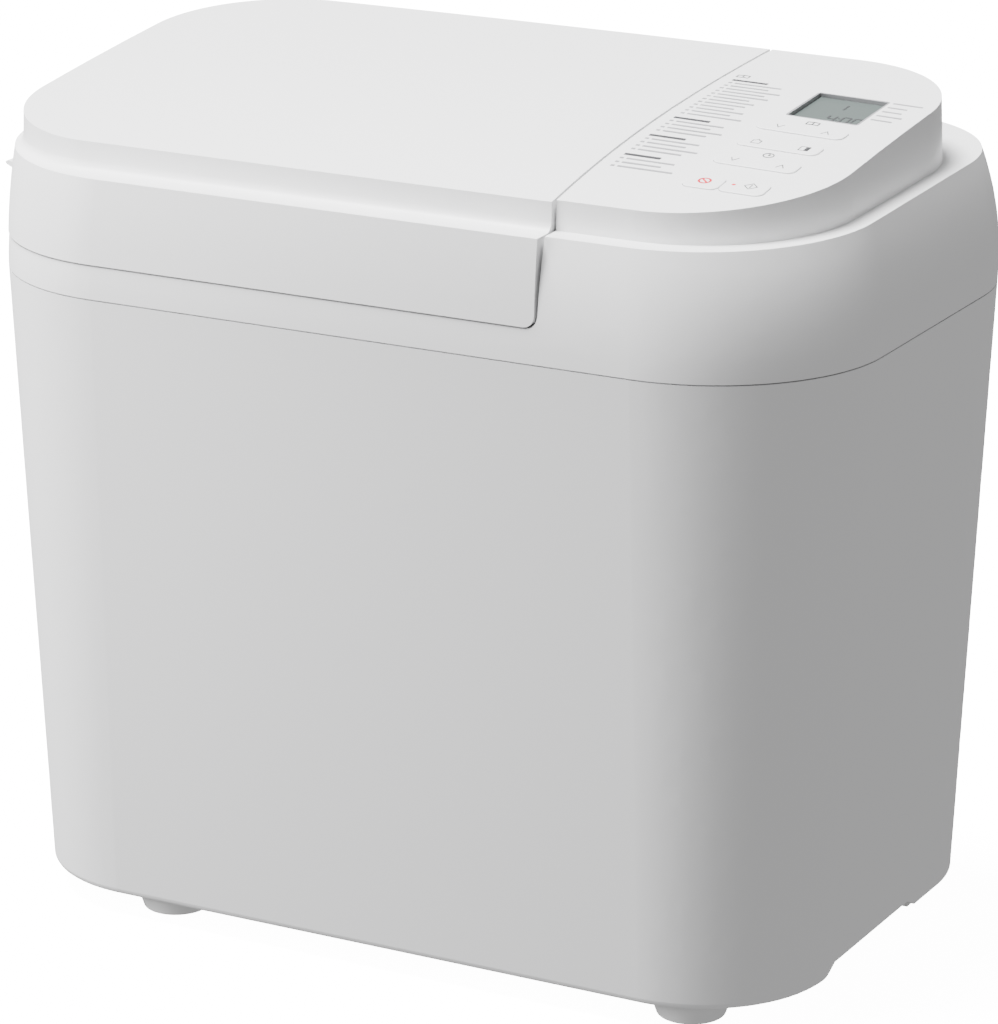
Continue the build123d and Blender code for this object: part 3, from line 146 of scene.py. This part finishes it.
FINISHES: dict[str, Finish] = {
    "casing_white": Finish((0.84, 0.84, 0.845), 0.42, grain_mm=0.35, relief_mm=0.003, mottle=0.006),
    "base_plastic": Finish((0.74, 0.74, 0.735), 0.55, grain_mm=0.6, relief_mm=0.02, mottle=0.015),
    "foot_rubber": Finish((0.80, 0.80, 0.80), 0.75, grain_mm=0.8, relief_mm=0.02, mottle=0.04),
    "key_white": Finish((0.86, 0.86, 0.865), 0.36, grain_mm=0.3, relief_mm=0.002, mottle=0.006),
    "lamp_red": Finish((0.80, 0.02, 0.05), 0.22, grain=Grain.POLISHED, coat=0.5, mottle=0.03),
    "bezel_grey": Finish((0.27, 0.27, 0.28), 0.5, grain_mm=0.3, mottle=0.02),
    "display_glass": Finish(
        (0.088, 0.108, 0.103), 0.2, grain=Grain.POLISHED, relief_mm=0.001, mottle=0.03, coat=0.15
    ),
    "display_grey": Finish((0.10, 0.10, 0.10), 0.5, grain_mm=0.3, mottle=0.03),
    "board_green": Finish((0.03, 0.16, 0.06), 0.35, grain_mm=0.25, relief_mm=0.01, mottle=0.12, coat=0.3),
    "component_dark": Finish((0.035, 0.035, 0.038), 0.5, grain_mm=0.4, relief_mm=0.01, mottle=0.15),
    "screw_steel": Finish((0.58, 0.58, 0.57), 0.28, 1.0, Grain.POLISHED, mottle=0.05),
    "liner_aluminium": Finish((0.74, 0.745, 0.75), 0.34, 1.0, Grain.BRUSHED, 0.12, 0.004, 0.03),
    "chamber_steel": Finish((0.56, 0.565, 0.57), 0.36, 1.0, Grain.CAST, 1.6, 0.01, 0.08),
    "spring_steel": Finish((0.60, 0.60, 0.59), 0.22, 1.0, Grain.BRUSHED, 0.15, 0.003, 0.04),
    "heater_steel": Finish((0.17, 0.15, 0.14), 0.55, 0.8, Grain.CAST, 1.0, 0.02, 0.25),
    "ceramic_white": Finish((0.82, 0.78, 0.70), 0.7, grain_mm=0.7, relief_mm=0.03, mottle=0.05),
    "cast_aluminium": Finish((0.50, 0.505, 0.51), 0.5, 1.0, Grain.CAST, 1.1, 0.05, 0.1),
    "sintered_bronze": Finish((0.50, 0.33, 0.15), 0.45, 1.0, Grain.CAST, 0.5, 0.02, 0.12),
    "shaft_steel": Finish((0.66, 0.66, 0.66), 0.16, 1.0, Grain.LAMINATED, 0.08, 0.001, 0.03),
    "coupling_steel": Finish((0.42, 0.42, 0.43), 0.35, 1.0, Grain.CAST, 0.9, 0.01, 0.1),
    "pulley_plastic": Finish((0.70, 0.67, 0.58), 0.45, grain_mm=0.5, relief_mm=0.01, mottle=0.03),
    "belt_rubber": Finish((0.018, 0.018, 0.02), 0.8, grain_mm=1.2, relief_mm=0.06, mottle=0.2),
    "mount_rubber": Finish((0.03, 0.03, 0.03), 0.85, grain_mm=0.9, relief_mm=0.04, mottle=0.2),
    "stator_steel": Finish((0.26, 0.25, 0.25), 0.45, 0.9, Grain.LAMINATED, 0.5, 0.08, 0.2),
    "pan_coating": Finish((0.055, 0.055, 0.058), 0.42, 0.1, Grain.SPECKLED, 0.5, 0.012, 0.7),
    "seal_silicone": Finish((0.36, 0.06, 0.05), 0.6, grain_mm=0.5, mottle=0.05),
    "handle_steel": Finish((0.72, 0.72, 0.72), 0.12, 1.0, Grain.POLISHED, mottle=0.02),
    "grip_black": Finish((0.03, 0.03, 0.032), 0.5, grain_mm=0.7, relief_mm=0.03, mottle=0.15),
}


class Wardrobe:
    """Holds each finish's material once, and dresses CAD nodes and new pieces with it."""

    def __init__(self, finishes: dict[str, Finish]) -> None:
        """Makes one material for each slot."""
        self.materials = {slot: finish.material(slot) for slot, finish in finishes.items()}

    def dress_nodes(self, nodes: dict[str, bpy.types.Object], subparts: Sequence[dict]) -> None:
        """Gives every CAD node the material of its slot.

        Args:
            nodes: CAD objects by node name.
            subparts: The record's list of node and slot.
        """
        for row in subparts:
            node = nodes[row["node"]]
            node.data.materials.clear()
            node.data.materials.append(self.materials[row["material_slot"]])
            log.info("dressed %s in %s", row["node"], row["material_slot"])

    def add_piece(self, mesh: bpy.types.Mesh, body: str, slot: str) -> bpy.types.Object:
        """Turns a mesh into a piece that rides on a body.

        Args:
            mesh: The piece's mesh, already in its place.
            body: The body that carries the piece.
            slot: The material slot that the piece takes its finish from.

        Returns:
            The new object.
        """
        piece = bpy.data.objects.new(mesh.name, mesh)
        bpy.context.scene.collection.objects.link(piece)
        mesh.materials.append(self.materials[slot])
        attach(piece, body)
        log.info("piece %s rides on %s, %d faces", piece.name, body, len(mesh.polygons))
        return piece


@dataclass(frozen=True)
class PanelSpot:
    """Flat patch that touches the crowned top at a point, given in millimetres from the casing's middle."""

    x_mm: float
    y_mm: float
    casing_shift_mm: float = 6.0
    top_half_x_mm: float = 181.5
    top_front_mm: float = -109.0
    top_depth_mm: float = 199.0
    front_height_mm: float = 339.8
    climb: float = 0.145
    sag_per_mm: float = 0.00021
    swell_mm: float = 3.3
    swell_lean: tuple[float, float] = (5.375, 3.375)
    back_swell_mm: float = 1.0

    def height_mm(self, x: float, y: float) -> float:
        """Height of the crowned top: it climbs to the back, sags a little and swells over the middle."""
        step = y - self.top_front_mm
        share = step / self.top_depth_mm
        early, late = self.swell_lean
        swell = self.swell_mm * share * (1 - share) * (early - late * share) + self.back_swell_mm * share
        arch = 1 - (x / self.top_half_x_mm) ** 2
        return self.front_height_mm + self.climb * step - self.sag_per_mm * step**2 + swell * arch

    def axes(self) -> tuple[np.ndarray, np.ndarray, np.ndarray]:
        """Gives the patch's across, back and outward directions, from the top's slope on each side."""
        rise_x = self.height_mm(self.x_mm + 0.5, self.y_mm) - self.height_mm(self.x_mm - 0.5, self.y_mm)
        rise_y = self.height_mm(self.x_mm, self.y_mm + 0.5) - self.height_mm(self.x_mm, self.y_mm - 0.5)
        outward = np.array((-rise_x, -rise_y, 1.0))
        outward /= np.linalg.norm(outward)
        across = np.array((1.0, 0.0, rise_x))
        across /= np.linalg.norm(across)
        return across, np.cross(outward, across), outward

    def lay(self, points: Outline, lift_mm: float) -> np.ndarray:
        """Lays flat points on the patch: origin plus each point along across and back, plus the lift outward.

        Args:
            points: Rows of (x, y) in millimetres from the spot.
            lift_mm: Height over the patch.

        Returns:
            Rows of (x, y, z) in metres.
        """
        across, back, outward = self.axes()
        foot = (self.x_mm + self.casing_shift_mm, self.y_mm, self.height_mm(self.x_mm, self.y_mm))
        laid = np.array(foot) + points[:, :1] * across + points[:, 1:] * back + lift_mm * outward
        return laid * MM


@dataclass
class FlatMarks:
    """Collects thin printed shapes that lie on one spot and joins them into one closed-solid mesh."""

    name: str
    spot: PanelSpot
    low_mm: float
    high_mm: float
    points: list[np.ndarray] = field(default_factory=list)
    faces: list[tuple[int, ...]] = field(default_factory=list)
    count: int = 0

    def plate(self, outline: Outline) -> None:
        """Adds a plate: the outline at both heights, closed by a top, a bottom and one wall along its edge.

        Args:
            outline: Rows of (x, y) that run anticlockwise, in millimetres from the spot.
        """
        size, first = len(outline), self.count
        self.points += [self.spot.lay(outline, self.low_mm), self.spot.lay(outline, self.high_mm)]
        low = np.arange(size) + first
        high, after = low + size, np.roll(low, -1)
        self.faces.append(tuple(low[::-1].tolist()))
        self.faces.append(tuple(high.tolist()))
        self.faces += map(tuple, np.stack((low, after, after + size, high), axis=1).tolist())
        self.count += 2 * size

    def stroke(self, path: Outline, width_mm: float, closed: bool = False) -> None:
        """Adds a line of even width: each leg of the path becomes a plate that reaches half a width past its ends.

        Args:
            path: Rows of (x, y) along the line.
            width_mm: The line's width.
            closed: Whether the last point joins the first.
        """
        ends = np.roll(path, -1, axis=0) if closed else path[1:]
        starts = path if closed else path[:-1]
        along = ends - starts
        along = along / np.linalg.norm(along, axis=1, keepdims=True) * width_mm / 2
        side = np.stack((-along[:, 1], along[:, 0]), axis=1)
        reach = along * (0.3 if closed else 1.0)
        legs = np.stack((starts - reach - side, ends + reach - side, ends + reach + side, starts - reach + side), 1)
        for leg in legs:
            self.plate(leg)

    def mesh(self) -> bpy.types.Mesh:
        """Puts the collected points and faces into one mesh."""
        made = bpy.data.meshes.new(self.name)
        made.from_pydata(np.concatenate(self.points).tolist(), [], self.faces)
        made.validate()
        made.update()
        return made


def rounded_box(width: float, depth: float, power: float = 6.0, centre: tuple[float, float] = (0, 0)) -> Outline:
    """Superellipse: each coordinate is half the side times the signed 2/power root of cosine or sine."""
    turn = np.linspace(0, 2 * np.pi, 32, endpoint=False)
    across, back = np.cos(turn), np.sin(turn)
    x = np.sign(across) * np.abs(across) ** (2 / power) * width / 2
    y = np.sign(back) * np.abs(back) ** (2 / power) * depth / 2
    return np.stack((x, y), axis=1) + np.array(centre)


def ring(radius: float, centre: tuple[float, float] = (0, 0), steps: int = 24) -> Outline:
    """Circle: radius times cosine and sine of even steps round a full turn."""
    turn = np.linspace(0, 2 * np.pi, steps, endpoint=False)
    return np.stack((np.cos(turn), np.sin(turn)), axis=1) * radius + np.array(centre)


def path(*points: tuple[float, float]) -> Outline:
    """Rows of (x, y) from points written out."""
    return np.array(points, dtype=float)


@dataclass
class KeySymbols:
    """Symbols printed on the keys. Each rides with its own key."""

    line_mm: float = 0.42
    cap_top_mm: float = 0.5
    print_mm: float = 0.05
    arrow_half_mm: float = 1.6
    arrow_rise_mm: float = 1.5

    def marks(self, name: str, spot: PanelSpot) -> FlatMarks:
        """Starts a set of marks on the top of a key cap."""
        return FlatMarks(name, spot, self.cap_top_mm - self.print_mm, self.cap_top_mm + self.print_mm)

    def arrows(self, marks: FlatMarks, offset_mm: float = 10.3) -> None:
        """Adds a down arrow on the left and an up arrow on the right, each two legs of a wide V."""
        half, rise = self.arrow_half_mm, self.arrow_rise_mm
        for side, way in ((-offset_mm, -1), (offset_mm, 1)):
            legs = path((side - half, -way * rise), (side, way * rise), (side + half, -way * rise))
            marks.stroke(legs, self.line_mm)

    def build(self, wardrobe: Wardrobe) -> None:
        """Builds every key's symbols."""
        menu = self.marks("menu_key_symbols", PanelSpot(143.0, -9.8))
        self.arrows(menu)
        wardrobe.add_piece(menu.mesh(), "menu_key", "component_dark")

        loaf = self.marks("loaf_key_symbols", PanelSpot(142.6, -30.2))
        size_icon = path(
            (-12.2, -1.8), (-8.6, -1.8), (-8.6, 1.4), (-9.6, 1.4), (-10.4, 2.8), (-11.4, 1.4), (-12.2, 1.4)
        )
        loaf.stroke(size_icon, self.line_mm, closed=True)
        crust_icon = path((8.6, -1.9), (12.6, -1.9), (12.6, 2.3), (8.6, 2.3))
        loaf.stroke(crust_icon, self.line_mm, closed=True)
        loaf.plate(path((10.8, -1.9), (12.6, -1.9), (12.6, 2.3), (10.8, 2.3)))
        wardrobe.add_piece(loaf.mesh(), "size_crust_key", "component_dark")

        timer = self.marks("timer_key_symbols", PanelSpot(142.6, -51.3))
        self.arrows(timer)
        wardrobe.add_piece(timer.mesh(), "timer_key", "component_dark")

        stop = self.marks("stop_key_symbol", PanelSpot(131.6, -76.5))
        stop.stroke(ring(2.4, (-0.2, 0.9)), 0.95, closed=True)
        stop.stroke(path((-1.7, 2.4), (1.3, -0.6)), 0.9)
        wardrobe.add_piece(stop.mesh(), "stop_key", "lamp_red")

        start = self.marks("start_key_symbol", PanelSpot(149.2, -76.5))
        start.stroke(path((-1.0, 1.8), (1.8, 4.6), (4.6, 1.8), (1.8, -1.0)), self.line_mm, closed=True)
        start.stroke(path((1.8, 0.4), (1.8, 3.2)), self.line_mm)
        wardrobe.add_piece(start.mesh(), "start_key", "component_dark")


@dataclass
class PanelPrint:
    """Generic print on the fixed panel: list bars, status bars, and symbols between the keys."""

    print_mm: float = 0.12
    group_lines: tuple[int, ...] = (13, 5, 5, 4)
    list_left_mm: float = 88.5
    list_top_mm: float = 38.8
    line_pitch_mm: float = 4.05
    bar_mm: float = 1.25
    head_width_mm: float = 16.0
    head_weight: float = 1.5
    number_width_mm: float = 1.6
    number_step_mm: float = 3.0
    line_widths_mm: tuple[float, ...] = (15.0, 21.0, 17.0, 24.0, 19.0, 22.5, 16.0, 20.0, 18.0)
    group_gap: float = 0.5
    status_left_mm: float = 162.2
    status_top_mm: float = 36.5
    status_pitch_mm: float = 5.6
    status_widths_mm: tuple[float, ...] = (13.0, 8.5, 8.5, 11.0, 9.0)

    def bars(self, marks: FlatMarks, left: float, width: float, thick: float) -> None:
        """Adds one bar.

        Args:
            marks: The marks that the bar joins.
            left: Where the bar starts, from the spot's middle.
            width: The bar's length.
            thick: The bar's height.
        """
        right, half = left + width, thick / 2
        marks.plate(path((left, -half), (right, -half), (right, half), (left, half)))

    def list_line(self, wardrobe: Wardrobe, name: str, y: float, head: bool, width: float) -> None:
        """Builds one line of the list: a heavy heading, or a short number bar and then a longer bar.

        Args:
            wardrobe: Where the piece gets its finish.
            name: The piece's name.
            y: The line's place on the panel.
            head: Whether the line is a heading.
            width: The longer bar's length.
        """
        marks = FlatMarks(name, PanelSpot(self.list_left_mm, y), -self.print_mm, self.print_mm)
        if head:
            self.bars(marks, 0.0, self.head_width_mm, self.bar_mm * self.head_weight)
        else:
            self.bars(marks, self.number_step_mm, width, self.bar_mm)
            self.bars(marks, 0.0, self.number_width_mm, self.bar_mm)
        wardrobe.add_piece(marks.mesh(), "root", "component_dark" if head else "bezel_grey")

    def build(self, wardrobe: Wardrobe) -> None:
        """Builds the bars and the symbols that stay with the casing."""
        y = self.list_top_mm
        for group, lines in enumerate(self.group_lines):
            for line in range(lines):
                width = self.line_widths_mm[line % len(self.line_widths_mm)]
                self.list_line(wardrobe, f"list_{group}_{line}", y, line == 0, width)
                y -= self.line_pitch_mm
            y -= self.line_pitch_mm * self.group_gap
        for line, width in enumerate(self.status_widths_mm):
            spot = PanelSpot(self.status_left_mm, self.status_top_mm - self.status_pitch_mm * line)
            marks = FlatMarks(f"status_{line}", spot, -self.print_mm, self.print_mm)
            self.bars(marks, 0.0, width, self.bar_mm)
            wardrobe.add_piece(marks.mesh(), "root", "bezel_grey")

        for name, spot in (("menu_symbol", PanelSpot(143.3, -0.7)), ("list_symbol", PanelSpot(90.5, 44.8))):
            book = FlatMarks(name, spot, -self.print_mm, self.print_mm)
            book.stroke(path((-2.6, -1.5), (0.0, -1.0), (2.6, -1.5), (2.6, 1.5), (0.0, 1.9), (-2.6, 1.5)), 0.4, True)
            book.stroke(path((0.0, -1.0), (0.0, 1.9)), 0.35)
            wardrobe.add_piece(book.mesh(), "root", "component_dark")

        clock = FlatMarks("timer_symbol", PanelSpot(142.8, -41.4), -self.print_mm, self.print_mm)
        clock.stroke(ring(2.2), 0.42, closed=True)
        clock.stroke(path((0.0, 1.3), (0.0, 0.0), (1.0, 0.0)), 0.38)
        wardrobe.add_piece(clock.mesh(), "root", "component_dark")


@dataclass
class DisplayDigits:
    """Segment digits that lie on the display's glass."""

    spot: PanelSpot = PanelSpot(144.4, 21.4)
    glass_depth_mm: float = 1.8
    sink_mm: float = 0.02
    rise_mm: float = 0.10
    segment_mm: float = 0.8
    segment_gap_mm: float = 0.65
    programme: int = 1
    time: tuple[tuple[int, float], ...] = ((4, -1.0), (0, 5.2), (0, 10.2))  # digit and its left edge
    colon: tuple[tuple[float, float], ...] = ((3.7, -10.0), (3.7, -7.2))
    dot_mm: float = 0.8
    lit: tuple[str, ...] = ("abcdef", "bc", "abdeg", "abcdg", "bcfg", "acdfg", "acdefg", "abc", "abcdefg", "abcdfg")

    def segments(self, marks: FlatMarks, digit: int, left: float, low: float, width: float, tall: float) -> None:
        """Adds one digit from its lit segments, each a line with a small gap at its ends.

        Args:
            marks: The marks that the digit joins.
            digit: The number to show, from 0 to 9.
            left: The digit's left edge.
            low: The digit's lower edge.
            width: The digit's width.
            tall: The digit's height.
        """
        gap, right, top, half = self.segment_gap_mm, left + width, low + tall, low + tall / 2
        runs = {
            "a": path((left + gap, top), (right - gap, top)),
            "b": path((right, half + gap), (right, top - gap)),
            "c": path((right, low + gap), (right, half - gap)),
            "d": path((left + gap, low), (right - gap, low)),
            "e": path((left, low + gap), (left, half - gap)),
            "f": path((left, half + gap), (left, top - gap)),
            "g": path((left + gap, half), (right - gap, half)),
        }
        for letter in self.lit[digit]:
            marks.stroke(runs[letter], self.segment_mm)

    def build(self, wardrobe: Wardrobe) -> None:
        """Builds a programme number above a time."""
        glass = -self.glass_depth_mm
        marks = FlatMarks("display_digits", self.spot, glass - self.sink_mm, glass + self.rise_mm)
        self.segments(marks, self.programme, left=-2.4, low=3.6, width=3.0, tall=6.2)
        for digit, left in self.time:
            self.segments(marks, digit, left, low=-12.2, width=3.2, tall=7.4)
        for place in self.colon:
            marks.plate(rounded_box(self.dot_mm, self.dot_mm, 3, place))
        wardrobe.add_piece(marks.mesh(), "root", "component_dark")


@dataclass
class Studio:
    """Pale floor, soft lights and the camera."""

    eye: tuple[float, float, float] = (0.9557, -1.7734, 0.8176)
    heading_deg: float = 28.191
    dip_deg: float = 17.894
    roll_deg: float = 0.071
    lens: float = 173.75
    clip: tuple[float, float] = (0.05, 60.0)
    floor_half: float = 9.0
    floor_glow: float = 14.0
    sky_strength: float = 0.46
    sun_strength: float = 14.0
    sun_width_deg: float = 26.0
    sun_towards: tuple[float, float, float] = (-0.28, -0.08, 0.95)
    lamp_place: tuple[float, float, float] = (-0.55, -0.55, 0.40)
    lamp_aim: tuple[float, float, float] = (0.0, 0.0, 0.18)
    lamp_width: float = 0.4
    lamp_watts: float = 8.0

    def floor(self) -> None:
        """Lays a bright square floor through the origin, which the machine neither mirrors nor takes light from."""
        half = self.floor_half
        mesh = bpy.data.meshes.new("studio_floor")
        mesh.from_pydata([(-half, -half, 0), (half, -half, 0), (half, half, 0), (-half, half, 0)], [], [(0, 1, 2, 3)])
        floor = bpy.data.objects.new("studio_floor", mesh)
        bpy.context.scene.collection.objects.link(floor)
        surface = Finish((0.93, 0.93, 0.93), 0.8, grain_mm=3.0, mottle=0.004).material("studio_floor")
        shader = surface.node_tree.nodes["Principled BSDF"]
        shader.inputs["Emission Color"].default_value = (1, 1, 1, 1)
        shader.inputs["Emission Strength"].default_value = self.floor_glow
        mesh.materials.append(surface)
        floor.visible_diffuse, floor.visible_glossy = False, False

    def lamp(self) -> None:
        """Hangs a square light close by on the left, so the front darkens from left to right."""
        light = bpy.data.lights.new("left_light", "AREA")
        light.size, light.energy = self.lamp_width, self.lamp_watts
        lamp = bpy.data.objects.new("left_light", light)
        lamp.location = self.lamp_place
        towards = Vector(self.lamp_aim) - Vector(self.lamp_place)
        lamp.rotation_euler = towards.to_track_quat("-Z", "Y").to_euler()
        bpy.context.scene.collection.objects.link(lamp)

    def sun(self) -> None:
        """Hangs a wide soft sun high up on the left, so the right side stays in shade."""
        light = bpy.data.lights.new("soft_sun", "SUN")
        light.energy, light.angle = self.sun_strength, math.radians(self.sun_width_deg)
        sun = bpy.data.objects.new("soft_sun", light)
        sun.rotation_euler = (-Vector(self.sun_towards)).to_track_quat("-Z", "Y").to_euler()
        bpy.context.scene.collection.objects.link(sun)

    def camera(self) -> None:
        """Sets the camera: it looks along its heading, dipped below the horizon, with a small roll."""
        data = bpy.data.cameras.new("camera")
        data.sensor_fit, data.sensor_width, data.sensor_height = "AUTO", 36.0, 36.0
        data.lens = self.lens
        data.clip_start, data.clip_end = self.clip
        heading, dip = math.radians(self.heading_deg), math.radians(self.dip_deg)
        forward = Vector((-math.sin(heading) * math.cos(dip), math.cos(heading) * math.cos(dip), -math.sin(dip)))
        camera = bpy.data.objects.new("camera", data)
        camera.location = self.eye
        camera.rotation_mode = "QUATERNION"
        roll = Quaternion(forward, math.radians(self.roll_deg))
        camera.rotation_quaternion = roll @ forward.to_track_quat("-Z", "Y")
        bpy.context.scene.collection.objects.link(camera)
        bpy.context.scene.camera = camera

    def build(self) -> None:
        """Sets up the floor, the sky, the lights and the camera."""
        self.floor()
        world = bpy.data.worlds.new("studio_sky")
        world.use_nodes = True
        sky = world.node_tree.nodes["Background"]
        sky.inputs["Color"].default_value = (1, 1, 1, 1)
        sky.inputs["Strength"].default_value = self.sky_strength
        bpy.context.scene.world = world
        self.sun()
        self.lamp()
        self.camera()


def main() -> None:
    """Dresses the CAD nodes, then adds the printed pieces and the studio, in order."""
    logging.basicConfig(level=logging.INFO, format="%(name)s: %(message)s")
    wardrobe = Wardrobe(FINISHES)
    wardrobe.dress_nodes(frame["nodes"], frame["record"]["subparts"])
    KeySymbols().build(wardrobe)
    PanelPrint().build(wardrobe)
    DisplayDigits().build(wardrobe)
    Studio().build()


if __name__ == "__main__":
    main()
